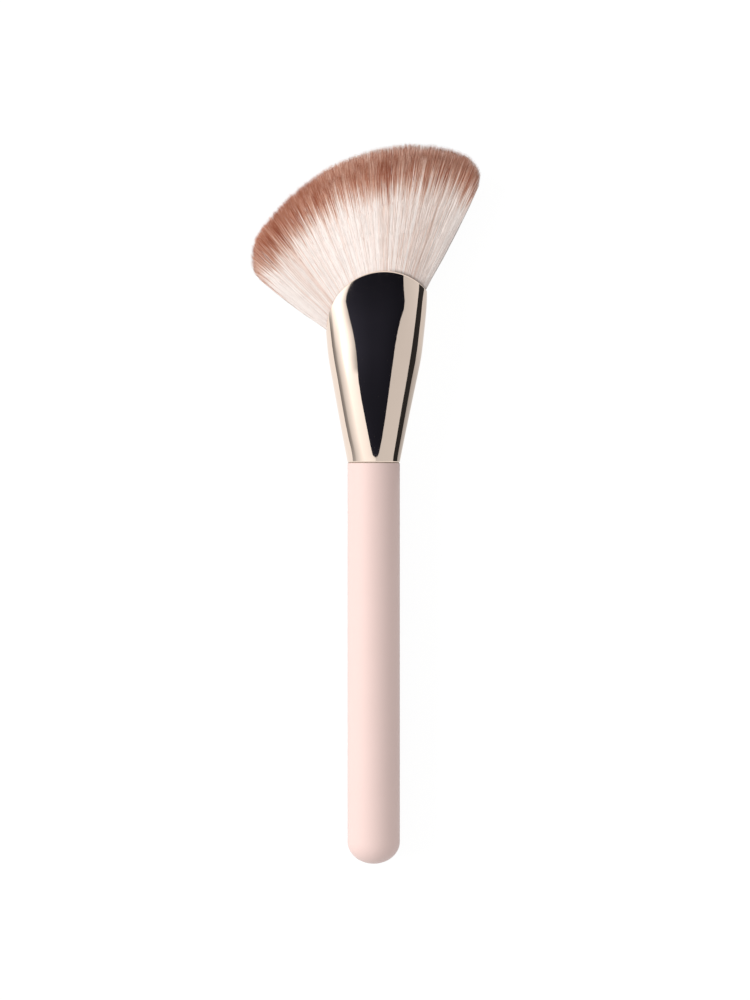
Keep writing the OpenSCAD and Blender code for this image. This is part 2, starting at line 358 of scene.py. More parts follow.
def new_object(name, points, faces, material, **values):
    """Puts points and faces into a mesh object at the origin. values are numbers kept at its
    points for the material to read, one for each or one for all."""
    mesh = bpy.data.meshes.new(name)
    mesh.from_pydata(points.reshape(-1, 3).tolist(), [], [f for part in faces for f in part.tolist()])
    for key, value in values.items():
        numbers = np.empty(len(mesh.vertices), np.float32)
        numbers[:] = np.ravel(value)
        mesh.attributes.new(key, "FLOAT", "POINT").data.foreach_set("value", numbers)
    mesh.materials.append(material)
    made = bpy.data.objects.new(name, mesh)
    bpy.context.scene.collection.objects.link(made)
    return made


def new_piece(name, points, faces, material, slot, replaced=(), normals=None, **values):
    """A smooth piece that rides on the brush. normals are the ways that its points face, where
    those of its faces won't do."""
    piece = new_object(name, points, faces, material, **values)
    piece.data.shade_smooth()
    if normals is not None:
        piece.data.normals_split_custom_set_from_vertices(unit(normals.reshape(-1, 3)))
    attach(piece, BODY)
    if replaced:
        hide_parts(*replaced)
    return piece


def turned(profile, columns):
    """Points of a profile of [radius, height], turned round the Y axis."""
    a = np.linspace(0, 2 * np.pi, columns, endpoint=False)
    r, y = profile[:, 0, None], profile[:, 1, None]
    return vectors(r * np.cos(a), y, r * np.sin(a))


def quarter(steps):
    """Angles of a quarter turn in radians."""
    return np.linspace(0, np.pi / 2, steps)


class Nodes:
    """A material or world emptied of its nodes, with short calls that add and join new ones."""

    def __init__(self, owner):
        self.owner = owner
        owner.use_nodes = True
        self.tree = owner.node_tree
        self.tree.nodes.clear()

    def add(self, kind, inputs=None, **settings):
        """A new node. inputs gives each socket a constant or what is linked to it."""
        node = self.tree.nodes.new(kind)
        for key, value in settings.items():
            setattr(node, key, value)
        for key, value in (inputs or {}).items():
            if isinstance(value, bpy.types.NodeSocket):
                self.tree.links.new(value, node.inputs[key])
            else:
                node.inputs[key].default_value = value
        return node

    def math(self, operation, a, b=0.0):
        """What an operation makes of a and b."""
        return self.add("ShaderNodeMath", {0: a, 1: b}, operation=operation).outputs[0]

    def scaled(self, colour, by):
        """A colour times a number."""
        return self.add("ShaderNodeVectorMath", {"Vector": colour, "Scale": by},
                        operation="SCALE").outputs[0]

    def blend(self, share, a, b):
        """Colour a where share is 0 and b where it is 1."""
        return self.add("ShaderNodeMix", {0: share, 6: a, 7: b}, data_type="RGBA").outputs[2]

    def ramp(self, value, colours):
        """Passes through the colours, evenly spaced, as value goes from 0 to 1."""
        node = self.add("ShaderNodeValToRGB", {0: value})
        stops = node.color_ramp.elements
        for place in np.linspace(0, 1, len(colours))[1:-1]:
            stops.new(place)
        for stop, colour in zip(stops, colours):
            stop.color = colour
        return node.outputs[0]

    def span(self, value, low, high, to_low=0.0, to_high=1.0, kind="LINEAR"):
        """Goes from to_low to to_high as value goes from low to high, and no further."""
        return self.add("ShaderNodeMapRange", {0: value, 1: low, 2: high, 3: to_low, 4: to_high},
                        interpolation_type=kind).outputs[0]

    def noise(self, where, scale, detail=2.0, roughness=0.5):
        """A smooth pattern round 0.5, with scale patches to a metre."""
        return self.add("ShaderNodeTexNoise", {"Vector": where, "Scale": scale,
                                               "Detail": detail, "Roughness": roughness}).outputs[0]

    def here(self):
        """Place on the piece."""
        return self.add("ShaderNodeTexCoord").outputs["Object"]

    def value(self, name):
        """Number kept at the piece's points."""
        return self.add("ShaderNodeAttribute", attribute_name=name).outputs["Fac"]

    def stretched(self, where, scale):
        """A place, scaled along each axis."""
        return self.add("ShaderNodeMapping", {"Vector": where, "Scale": scale}).outputs[0]

    def bump(self, height, strength, distance):
        """The way that the surface faces where a height raises it by up to distance."""
        return self.add("ShaderNodeBump", {"Height": height, "Strength": strength,
                                           "Distance": distance}).outputs[0]

    def seen(self):
        """1 for what the camera sees, straight or in a reflection, and 0 for light that is cast."""
        ray = self.add("ShaderNodeLightPath").outputs
        return self.math("MAXIMUM", ray["Is Camera Ray"],
                         self.math("MAXIMUM", ray["Is Glossy Ray"], ray["Is Transmission Ray"]))

    def surface(self, kind, inputs, out="ShaderNodeOutputMaterial"):
        """Ends the nodes with a shader. Returns the material or world."""
        self.add(out, {"Surface": self.add(kind, inputs).outputs[0]})
        return self.owner


def rgba(colour, by=1.0):
    """A colour, darkened by a factor, with the alpha that sockets want."""
    return tuple(c * by for c in colour) + (1.0,)


def lacquer_material(s):
    """Satin lacquer over wood: a faint unevenness of the sprayed coat, a dark glue-coloured line of
    painted shade in the seam at the ferrule, and bare wood with long grain on the tenon."""
    n = Nodes(bpy.data.materials.new("satin_lacquer"))
    here = n.here()
    height = n.add("ShaderNodeSeparateXYZ", {0: here}).outputs["Y"]
    cloud = n.noise(here, 90, 3)
    coat = n.blend(n.span(cloud, 0.3, 0.7), rgba(s.lacquer, 0.985), rgba(s.lacquer))
    # Painted shade: from 0.3 mm below the shoulder upwards, the lacquer turns the dark colour of
    # glue, as the seam's shade
    glue = rgba((0.42, 0.34, 0.28))
    coat = n.blend(n.span(height, -0.3 * MM, -NEAR_EDGE), coat, glue)
    grain = n.noise(n.stretched(here, (2600, 90, 2600)), 1, 4, 0.6)
    wood = n.blend(n.span(grain, 0.35, 0.65), rgba(s.wood, 0.72), rgba(s.wood))
    bare = n.math("GREATER_THAN", height, NEAR_EDGE)
    spray = n.noise(here, 1500, 2)
    return n.surface("ShaderNodeBsdfPrincipled", {
        "Base Color": n.blend(bare, coat, wood), "Specular IOR Level": 0.5,
        "Roughness": n.span(n.noise(here, 420, 3), 0.3, 0.7, 0.40, 0.46),
        "Normal": n.bump(n.blend(bare, spray, grain), 0.05, 0.4 * MM)})


def metal_material(s):
    """Polished drawn metal: the polish varies a little, with faint lines along the draw."""
    n = Nodes(bpy.data.materials.new("polished_metal"))
    here = n.here()
    lines = n.noise(n.stretched(here, (4200, 60, 4200)), 1, 3)
    haze = n.noise(here, 260, 3)
    rough = n.span(n.math("ADD", n.math("MULTIPLY", haze, 0.7), n.math("MULTIPLY", lines, 0.3)),
                   0.35, 0.65, s.roughness * 0.8, s.roughness * 1.3)
    tint = n.blend(n.span(haze, 0.3, 0.7), rgba(s.metal, 0.985), rgba(s.metal))
    return n.surface("ShaderNodeBsdfPrincipled", {
        "Base Color": tint, "Metallic": 1.0, "Roughness": rough,
        "Normal": n.bump(lines, 0.006, 0.1 * MM)})


def hair_material(s):
    """Dyed and undyed fibre. gap is the distance in mm below the cut and rise that above the
    rim, dye_end the gap at which the dye ends on this hair, dyed_share and pale_share how far
    its dyed and undyed parts are from dyed to pale, with painted light and shade across the fan in
    them, thin how much painted light comes through its tip, and shade how much painted shade it has
    at the rim. Dye thins as Beer's law has it, so the colour is dyed^(1 - share) pale^share, and a
    share below 0 is dyed more deeply. The tips are painted lighter, as painted light that makes up
    for the shade on their sides and stands for light coming through them."""
    n = Nodes(bpy.data.materials.new("dip_dyed_hair"))
    gap, end = n.value("gap"), n.value("dye_end")
    fade = s.dye_scatter / MM * 1.8
    undyed = n.span(gap, n.math("SUBTRACT", end, fade), n.math("ADD", end, fade),
                    kind="SMOOTHSTEP")
    share = n.span(undyed, 0, 1, n.value("dyed_share"), n.value("pale_share"))
    # Painted light: thin makes the last 4 mm of a hair paler, as if light came through it
    tips, thin = n.span(gap, 0, 4, 1, 0), n.value("thin")
    share = n.math("ADD", share, n.math("MULTIPLY", thin, tips))
    deepest, stops = -0.8, 12
    thinned = n.ramp(n.span(share, deepest, 1),
                     [rgba(np.power(s.dyed, 1 - w) * np.power(s.pale, w))
                      for w in np.linspace(deepest, 1, stops)])
    fleck = n.span(n.noise(n.here(), 700, 2), 0.3, 0.7, 0.97, 1.03)
    # Painted shade: the hair within a mm of the rim is darkened, deepest on the right side
    root = n.span(n.value("rise"), -0.2, 1.0, n.value("shade"), 1)
    # Painted light: the tips are brightened up to 1.55 times near the cut, and more where thin is
    # high
    through = n.math("MULTIPLY", tips, n.math("ADD", 0.15, n.math("MULTIPLY", thin, 0.5)))
    tip = n.math("MULTIPLY", n.span(gap, -0.4, 1.4, 1.55, 1), n.math("ADD", 1.0, through))
    lit = n.scaled(thinned, n.math("MULTIPLY", n.math("MULTIPLY", root, tip), fleck))
    lit = n.add("ShaderNodeVectorMath", {0: lit, 1: (1, 1, 1)}, operation="MINIMUM").outputs[0]
    return n.surface("ShaderNodeBsdfPrincipled", {
        "Base Color": lit, "Roughness": 0.5, "Specular IOR Level": 0.3})


def resin_material():
    """Cured amber resin, with a little cloud in it."""
    n = Nodes(bpy.data.materials.new("cured_resin"))
    here = n.here()
    cloud = n.span(n.noise(here, 350, 4), 0.3, 0.7)
    return n.surface("ShaderNodeBsdfPrincipled", {
        "Base Color": n.blend(cloud, (0.53, 0.36, 0.17, 1), (0.66, 0.49, 0.27, 1)),
        "Roughness": n.span(cloud, 0, 1, 0.18, 0.26),
        "Normal": n.bump(n.noise(here, 900, 2), 0.1, 0.3 * MM)})


def thread_material():
    """Twisted cotton thread: slanting strands across each turn."""
    n = Nodes(bpy.data.materials.new("twisted_thread"))
    strands = n.add("ShaderNodeTexWave", {"Vector": n.here(), "Scale": 900.0, "Distortion": 1.5},
                    bands_direction="DIAGONAL").outputs[1]
    return n.surface("ShaderNodeBsdfPrincipled", {
        "Base Color": n.blend(strands, (0.60, 0.55, 0.46, 1), (0.85, 0.81, 0.72, 1)),
        "Roughness": 0.8, "Normal": n.bump(strands, 0.5, 0.1 * MM)})


def handle_profile(s, wall):
    """[radius, height] from the butt's pole, a quarter of an ellipse, along the grip, over the
    rounded shoulder, a quarter of a circle, and along the tenon, with its two grooves and its
    chamfered end, to the pole there."""
    r, e = s.diameter / 2, s.shoulder_radius
    q = quarter(34)
    butt = np.stack([r * np.sin(q), -s.length + s.butt_length * (1 - np.cos(q))], -1)
    grip_y = np.append(np.linspace(-s.length + s.butt_length, -e - NEAR_EDGE, 60)[1:], -e)
    grip = np.stack([np.full_like(grip_y, r), grip_y], -1)
    q = quarter(9)[1:]
    shoulder = np.stack([r - e * (1 - np.cos(q)), -e * (1 - np.sin(q))], -1)
    tenon_r, corner, chamfer = r - wall - GLUE_GAP, 0.08 * MM, 0.8 * MM
    tenon = [[tenon_r + corner, 0], [tenon_r, 0], [tenon_r, corner]]
    for share in (0.35, 0.65):
        y, w, floor_r = s.tenon_length * share, s.groove_width, tenon_r - s.groove_depth
        tenon += [[tenon_r, y - w / 2], [floor_r, y - w / 4],
                  [floor_r, y + w / 4], [tenon_r, y + w / 2]]
    bevel = s.tenon_length - chamfer
    tenon += [[tenon_r, bevel - NEAR_EDGE], [tenon_r - NEAR_EDGE, bevel + NEAR_EDGE],
              [tenon_r - chamfer, s.tenon_length], [tenon_r - 2 * chamfer, s.tenon_length],
              [0, s.tenon_length]]
    return np.concatenate([butt, grip, shoulder, tenon])


def ferrule_rings(form, columns):
    """Rings of points up the outer face, over the rounded lip and down the inner face. At share
    w of a rim's height a ring is skin(a, w * rim), the lower edge is a quarter of a circle and
    the lip is half of an ellipse across the wall."""
    s = form.s
    a = np.linspace(0, 2 * np.pi, columns, endpoint=False)
    rims = form.rim(a)
    edge, half, lip = s.base_edge, s.wall / 2, 0.3 * MM
    rings = [form.skin(a, edge * (1 - np.sin(q)) * np.ones_like(a), edge * (1 - np.cos(q)))
             for q in quarter(7)[::-1]]
    # A ring just inside each end keeps the shading of the wall beside the rounded edges flat
    near = 0.0008
    shares = np.concatenate([[near], np.linspace(0, 1, 64)[1:-1], [1 - near, 1]])
    rings += [form.skin(a, edge + (rims - lip - edge) * w) for w in shares]
    for q in np.linspace(0, np.pi, 13)[1:]:
        ring = form.skin(a, rims - lip, half * (1 - math.cos(q)))
        ring[:, 1] += lip * math.sin(q)
        rings.append(ring)
    rings += [form.skin(a, (rims - lip) * (1 - w), s.wall) for w in np.linspace(0, 1, 26)[1:]]
    return np.stack(rings)


class Locks:
    """Hairs gathered into locks: each hair's lock is the nearest of a row of seeds along the
    cut, and it leans towards its lock's middle as it grows. From front to back a lock is
    divided into bundles."""
    LAYERS = 26

    def __init__(self, form, rng, width):
        x = np.linspace(-1, 1, 2001)
        way = form.way(x, 1.0)
        along = np.concatenate([[0], np.cumsum(np.diff(way) * form.cut(way)[1:])])
        self.x, self.along = x, along
        count = int(along[-1] / width)
        middles = np.sort(rng.uniform(0, along[-1], count))
        self.middle = np.interp(middles, along, way)
        self.tone, self.dye, self.lift = rng.normal(0, 1, (3, count))
        self.short = rng.uniform(0, 1, count)
        self.pull = rng.uniform(0.03, 0.32, count)
        self.bundle_tone = rng.normal(0, 1, count * self.LAYERS)
        self.bundle_short = rng.uniform(0, 1, count * self.LAYERS)

    def of(self, way):
        """Number of each hair's lock."""
        right = np.clip(np.searchsorted(self.middle, way), 1, len(self.middle) - 1)
        return np.where(way - self.middle[right - 1] < self.middle[right] - way, right - 1, right)

    def bundle(self, lock, v):
        """Number of each hair's bundle."""
        return lock * self.LAYERS + ((v + 1) / 2 * (self.LAYERS - 1)).astype(int)


def filaments(paths, radii, rng):
    """Closed three-sided prisms along paths, given as (rows, hairs, 3), with a point at the tip.
    A corner of a section is path + radius * (side * cos b + lift * sin b), where side lies in
    the fan's plane and lift across it. Returns points as (hairs, points of one, 3), the way that
    each faces, and faces."""
    rows, count = radii.shape
    along = unit(np.gradient(paths, axis=0))
    side = unit(np.cross(along, [0.0, 0.0, 1.0]))
    lift = np.cross(side, along)
    first = rng.uniform(0, 2 * np.pi, count)
    b = (first[:, None] - np.arange(3) * 2 * np.pi / 3)[None, :, :, None]
    out = side[:, :, None] * np.cos(b) + lift[:, :, None] * np.sin(b)
    corners = paths[:, :, None] + radii[..., None, None] * out

    def by_hair(of_corners, of_tips):
        sections = of_corners[:-1].transpose(1, 0, 2, 3).reshape(count, -1, 3)
        return np.concatenate([sections, of_tips[:, None]], 1)

    points, facing = by_hair(corners, paths[-1]), by_hair(out, along[-1])
    sides = bands(rows - 1, 3)
    top = np.arange(3) + 3 * (rows - 2)
    tips = fan_of(top, 3 * (rows - 1))
    start = (np.arange(count) * points.shape[1])[:, None, None]
    quads = (sides[None] + start).reshape(-1, 4)
    tris = np.concatenate([(tips[None] + start).reshape(-1, 3),
                           (np.array([[2, 1, 0]])[None] + start).reshape(-1, 3)])
    return points, facing, [quads, tris]


def along_hair(values):
    """What is given for each row of a hair, repeated for the three corners of its sections."""
    return np.concatenate([np.repeat(values[:-1], 3, axis=0), values[-1:]]).swapaxes(0, 1)


# How the hair changes across the fan. Each pair gives directions, in degrees from straight up
# and below 0 on the left, and the values there. The first two are how many times as far the
# hairs fall short of the cut, and how far the outer surface faces sideways
SHORTFALL = (-47.5, -43, -12, 12), (1.7, 1, 1, 1.3)
SIDEWAYS = ((-46, -36, -26, -14, -6, 2, 9, 16, 21, 24.5),
            (-0.3, -0.45, -1.3, -1.2, -0.5, 0, 0.4, 0.8, 0.75, 0.2))
# How many mm nearer to the cut the dye ends, how many times as uneven it is, and how much paler
# the dyed part is painted, as painted light and shade across the fan
DYE_NEARER = ((-46, -37, -27, -17, -6, 4, 8, 12, 15, 18),
              (4.7, 3.1, 2.3, 1.6, 0.1, -0.2, 0.2, -0.6, 0.7, 2.2))
DYE_UNEVEN = (-10, 2), (1, 1.3)
DYED_LIGHT_AND_SHADE = ((-44, -38, -32, -24, -16, -8, 0, 10, 15, 19, 21.3, 22.8, 24.5),
              (-0.03, -0.2, -0.22, -0.13, 0, 0, -0.04, -0.03, -0.06, -0.19, -0.27, 0.13, 0.25))
# How much darker the undyed hair is painted, as painted shade and light across the fan that is
# darkest on the right, how much painted light comes through the tips, and how much painted shade
# the hair has at the ferrule's rim
PALE_SHADE_AND_LIGHT = ((-45, -43, -40, -36, -28, -10, 0, 8, 14, 20, 22.7, 24.5),
               (-0.05, -0.02, 0.04, 0.05, -0.02, 0, 0.03, 0.1, 0.14, 0.12, 0.04, -0.08))
THIN_TIPS = ((-44, -38, -32, -24, -16, -8, 0, 8),
             (0.02, 0.02, -0.08, -0.05, 0.08, 0.22, 0.47, 0.44))
RIM_SHADE = (2, 9), (0.95, 0.3)


def soft_normals(facing, way, v, tips, softness):
    """The ways that hairs' points face, turned towards those of the hair's outer surface. That
    faces sideways at the fan's edges and outwards over the dome, where tips is 1."""
    beside = vectors(np.cos(way), -np.sin(way), 0.0)
    outwards = vectors(np.sin(way), np.cos(way), 0.0)
    lean = np.interp(np.degrees(way), *SIDEWAYS) * (1 - 0.85 * tips)
    crest = 0.3 * tips * (1 - np.abs(v))
    face = v * (1 + 1.4 * tips)
    whole = unit(beside * lean[..., None] + outwards * crest[..., None]
                 + np.array([0, 0, 1.0]) * face[..., None])
    return mix(facing, along_hair(whole), softness)


def dye_and_painted_light(s, angle, patchy, tress_dye, rng):
    """How the dye took on each hair, by its direction across the fan, its lock and chance, and the
    painted light and shade across the fan, the painted light through the tips and the painted shade
    at the rim, as the numbers that hair_material reads."""
    count = len(angle)
    end = (s.dye_length + s.dye_scatter * (rng.normal(0, 0.95, count) + 0.12 * tress_dye)) / MM
    uneven = np.clip(patchy + rng.normal(0, 0.26, count), -0.75, 0.45)
    return {"dye_end": end - np.interp(angle, *DYE_NEARER),
            "dyed_share": uneven * np.interp(angle, *DYE_UNEVEN) + np.interp(angle, *DYED_LIGHT_AND_SHADE),
            "pale_share": 1 + 0.25 * uneven - np.interp(angle, *PALE_SHADE_AND_LIGHT),
            "thin": rng.normal(0, 0.25, count) + np.interp(angle, *THIN_TIPS),
            "shade": np.interp(angle, *RIM_SHADE)}


def hair_piece(name, form, rows_of_locks, x, v, stations, s, rng, material, from_tip=False):
    """A mesh of hairs at (x, v) in the section. stations are the shares t of its length at which
    a hair has a section, or their distances in metres from its tip."""
    count = len(x)
    way = form.way(x, 1.0)
    fine, broad = (locks.of(way) for locks in rows_of_locks)
    locks, tresses = rows_of_locks
    # Each hair drifts a little to the side, a few stray further, and all lean to their lock
    stray, past_edge = 0.008, 0.004
    drift = np.radians(rng.normal(0, 0.5, count)) + np.where(
        rng.random(count) < stray, np.radians(rng.normal(0, 1.5, count)), 0)
    drift += (locks.middle[fine] - way) * locks.pull[fine]
    tip_way = np.clip(way + drift, form.low - past_edge, form.high + past_edge)
    drift = tip_way - way
    angle = np.degrees(tip_way)
    # Most hairs end a little below the cut, by the length of a random vector and by their
    # bundle's and their lock's own shortfall, and a few pass it
    bundle = locks.bundle(fine, v)
    short = 0.33 * np.linalg.norm(rng.normal(0, 1, (3, count)), axis=0)
    short += 0.35 * locks.bundle_short[bundle] + 0.25 * locks.short[fine]
    short *= np.interp(angle, *SHORTFALL)
    tip = form.tip(tip_way, v) - s.feather * (short - 0.6)
    root = np.interp(x, form.x, form.root_r)
    if from_tip:
        r = tip - stations[:, None] * rng.uniform(0.8, 1.2, count)
        t = (r - root) / (tip - root)
    else:
        inner = np.where((stations > 0) & (stations < 1), 1, 0)
        t = stations[:, None] + inner[:, None] * rng.uniform(-0.045, 0.045, count)
        r = mix(root, tip, t)
    bow = rng.normal(0, 0.25 * MM, count) / tip * np.sin(np.pi * np.clip(t, 0, 1))
    paths = form.place(x, v, t, r, drift * smooth(t) + bow)
    paths[..., 2] += (locks.lift[fine] * 0.07 * MM + rng.normal(0, 0.05 * MM, count)) * smooth(t)
    thick = s.thickness / 2 * rng.uniform(0.8, 1.15, count)
    radii = thick * np.interp(t, [-0.1, 0.3, 0.8, 1], [0.8, 1, 0.9, 0.55])
    points, facing, faces = filaments(paths, radii, rng)

    tips = smooth(1 - (form.cut(tip_way) - r) / (10 * MM))
    normals = soft_normals(facing, tip_way, v, tips, s.softness)
    patchy = 0.07 * locks.tone[fine] + 0.02 * tresses.tone[broad] + 0.3 * locks.bundle_tone[bundle]
    marks = {"gap": (form.arc(tip_way) - r) / MM, "rise": (r - root) / MM,
             **dye_and_painted_light(s, angle, patchy, tresses.dye[broad], rng)}
    piece = new_piece(name, points, faces, material, "hair", normals=normals, **{
        key: along_hair(np.broadcast_to(value, t.shape)) for key, value in marks.items()})
    # Light passes between and through fine hairs, so only the core casts a shadow
    piece.visible_shadow = piece.visible_diffuse = False


def hair_core(form, s, material):
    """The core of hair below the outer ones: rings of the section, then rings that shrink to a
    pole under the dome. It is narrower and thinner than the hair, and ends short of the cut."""
    short, narrow, thinner = 4 * MM, 0.975, 0.45 * MM
    a = np.linspace(0, 2 * np.pi, 360, endpoint=False)
    x = np.interp(np.cos(a), np.cos(form.a), form.x)
    v = np.interp(np.cos(a), np.cos(form.a), form.v) * np.sign(np.sin(a) + 1e-12)
    rings, gaps = [], []
    along = [(1.0, t) for t in np.linspace(-0.08, 1, 24)]
    over = [(w, 1.0) for w in np.cos(quarter(16))[1:-1]]
    for w, t in along + over + [(0.0, 1.0)]:
        inner = x * w * narrow
        way = form.way(inner, 1.0)
        r = mix(np.interp(inner, form.x, form.root_r), form.tip(way, v * w) - short, t)
        ring = form.place(inner, v * w, t, r)
        ring[:, 2] *= 1 - thinner / form.belly(x * w, t)
        rings.append(ring)
        gaps.append((form.arc(way) - r) / MM)
    pole, pole_gap = rings.pop()[0], gaps.pop()[0]
    points = np.concatenate([np.stack(rings).reshape(-1, 3), [rings[0].mean(0), pole]])
    faces = poled(len(rings), len(a))
    gap = np.concatenate([np.stack(gaps).ravel(), [gaps[0].mean(), pole_gap]])
    # It is evenly dyed, and with shade at 1 it has no painted shade at the rim, whatever its rise
    new_piece("hair_core", points, faces, material, "hair", ("bristle_tuft",), gap=gap, rise=9,
              dye_end=s.dye_length / MM, dyed_share=0, pale_share=1, thin=0, shade=1)


class BRUSH_OT_make_handle(bpy.types.Operator):
    """Turn the handle, with its tenon, and lacquer it"""
    bl_idname = "powder_brush.make_handle"
    bl_label = "Make Handle"

    def execute(self, context):
        s = context.scene.brush_handle
        profile = handle_profile(s, context.scene.brush_ferrule.wall)
        columns = 224
        points = turned(profile[1:-1], columns).reshape(-1, 3)
        poles = np.array([[0, profile[0, 1], 0], [0, profile[-1, 1], 0]])
        new_piece("handle_turned", np.concatenate([points, poles]),
                  poled(len(profile) - 2, columns), lacquer_material(s), "handle", ("handle",))
        return {"FINISHED"}


class BRUSH_OT_make_ferrule(bpy.types.Operator):
    """Draw the ferrule, with its arched mouth, and polish it"""
    bl_idname = "powder_brush.make_ferrule"
    bl_label = "Make Ferrule"

    def execute(self, context):
        form = FerruleForm(context.scene)
        rings = ferrule_rings(form, columns=320)
        faces = [bands(len(rings), rings.shape[1], closed=True)[:, ::-1]]
        new_piece("ferrule_drawn", rings, faces, metal_material(form.s), "ferrule", ("ferrule",))
        return {"FINISHED"}


class BRUSH_OT_finish_root(bpy.types.Operator):
    """Give the resin and the thread inside the ferrule their finishes"""
    bl_idname = "powder_brush.finish_root"
    bl_label = "Finish Root"

    def execute(self, context):
        for node, finish in (("resin_plug", resin_material), ("binding_thread", thread_material)):
            material = finish()
            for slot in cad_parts[node].material_slots:
                slot.link, slot.material = "OBJECT", material
        return {"FINISHED"}


class BRUSH_OT_make_hair(bpy.types.Operator):
    """Set the core of the hair, the long hairs of both faces, and the tips over the dome"""
    bl_idname = "powder_brush.make_hair"
    bl_label = "Make Hair"

    def execute(self, context):
        s = context.scene.brush_hair
        form = FanForm(FerruleForm(context.scene), s)
        rng = np.random.default_rng(s.seed)
        material = hair_material(s)
        hair_core(form, s, material)
        stations = np.array([-0.05, 0.12, 0.34, 0.6, 0.84, 1.0])
        locks = Locks(form, rng, width=0.36 * MM), Locks(form, rng, width=2.4 * MM)

        # Long hairs, spread evenly by the length round the section at t = 0.6. Most lie near its
        # outline, and none lies more than 0.13 of the way in
        r = mix(form.root_r, form.tip(form.way(form.x, 1.0), form.v), 0.6)
        edge = form.place(form.x, form.v, 0.6, r)
        around = np.concatenate([[0], np.cumsum(np.linalg.norm(np.diff(edge, axis=0), axis=1))])
        for name, sign in (("hair_front", 1), ("hair_back", -1)):
            at = rng.uniform(0, around[-1], s.face_count)
            deep = 1 - 0.13 * rng.random(s.face_count) ** 1.5
            hair_piece(name, form, locks, np.interp(at, around, form.x) * deep,
                       sign * np.interp(at, around, form.v) * deep, stations, s, rng, material)

        # Tips, spread evenly over the cut
        want = s.crown_count
        along, across = locks[0].along, locks[0].x
        x = np.interp(rng.uniform(0, along[-1], want * 2), along, across)
        v = rng.uniform(-1, 1, want * 2)
        inside = np.abs(v) < 0.97 * np.interp(x, form.x, form.v)
        x, v = x[inside][:want], v[inside][:want]
        stations = np.array([9.0, 4.0, 0.0]) * MM
        hair_piece("hair_crown", form, locks, x, v, stations, s, rng, material, from_tip=True)
        return {"FINISHED"}


# What the ferrule mirrors, by height on it: where the left shadow begins, the black tongue's
# edges and the stripe's edges, in mm across the ferrule
MIRRORED = np.array([
    (51.5, -11.4, -5.10, 7.60, 11.62, 12.65), (48.8, -11.4, -5.10, 7.60, 11.62, 12.72),
    (46.4, -11.4, -5.10, 7.59, 11.62, 12.77), (45.3, -11.4, -5.86, 7.64, 11.58, 12.80),
    (44.0, -11.4, -6.50, 7.72, 11.52, 12.90), (42.5, -11.5, -6.92, 7.81, 11.36, 12.63),
    (41.0, -11.5, -7.15, 7.94, 11.20, 12.43), (38.9, -11.5, -6.68, 7.69, 10.95, 12.22),
    (36.4, -11.35, -6.08, 6.86, 10.66, 11.99), (33.3, -11.0, -5.33, 6.13, 10.27, 11.62),
    (29.7, -10.60, -4.66, 5.49, 9.80, 11.22), (25.6, -9.98, -4.20, 4.94, 9.15, 10.62),
    (21.0, -9.14, -3.92, 4.29, 8.40, 9.68), (15.9, -8.27, -3.12, 3.61, 7.48, 8.75),
    (10.75, -7.35, -2.13, 2.87, 6.58, 7.81), (6.15, -6.42, -1.22, 2.14, 5.82, 6.97),
    (3.60, -5.80, -0.70, 1.62, 5.38, 6.49), (2.05, -5.50, -0.34, 1.28, 5.10, 6.23),
    (1.50, -5.42, -0.02, 1.00, 5.02, 6.14), (1.30, -5.40, 0.30, 0.70, 5.00, 6.10),
    (1.20, -5.38, 0.50, 0.50, 4.98, 6.08), (-1.20, -5.20, 0.50, 0.50, 4.80, 5.85)])


